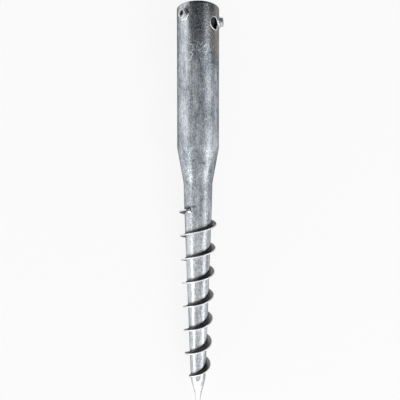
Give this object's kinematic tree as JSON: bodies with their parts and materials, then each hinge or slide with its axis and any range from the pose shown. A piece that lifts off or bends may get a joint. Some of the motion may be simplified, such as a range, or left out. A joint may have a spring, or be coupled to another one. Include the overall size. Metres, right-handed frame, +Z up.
{
  "type": "foundation ground screw",
  "caption": "Galvanised steel ground screw with a round post socket, welded clamp nuts, a driving-bar hole, a swaged shaft, a helical flight and a forged point.",
  "frame": {"origin": "centre of the socket mouth, on the screw's axis", "axes": "+Z up; the screw lies along X with its point towards +X, its axis dipping towards the point at the angle at which it rests on a flat floor on one nut and the flight"},
  "size_m": [0.6507, 0.0764, 0.0753],
  "materials": {
    "tube_zinc": "hot-dip galvanised, spangled grey zinc",
    "flight_zinc": "hot-dip galvanised, spangled grey zinc",
    "nut_zinc": "hot-dip galvanised, spangled grey zinc",
    "weld_zinc": "hot-dip galvanised, spangled grey zinc"
  },
  "bodies": {
    "root": {"shaft_tube": "tube_zinc", "helical_flight": "flight_zinc", "flight_root_weld": "weld_zinc", "clamp_nut_1": "nut_zinc", "nut_weld_1": "weld_zinc", "clamp_nut_2": "nut_zinc", "nut_weld_2": "weld_zinc", "clamp_nut_3": "nut_zinc", "nut_weld_3": "weld_zinc", "flight_start_weld": "weld_zinc"}
  },
  "joints": []
}
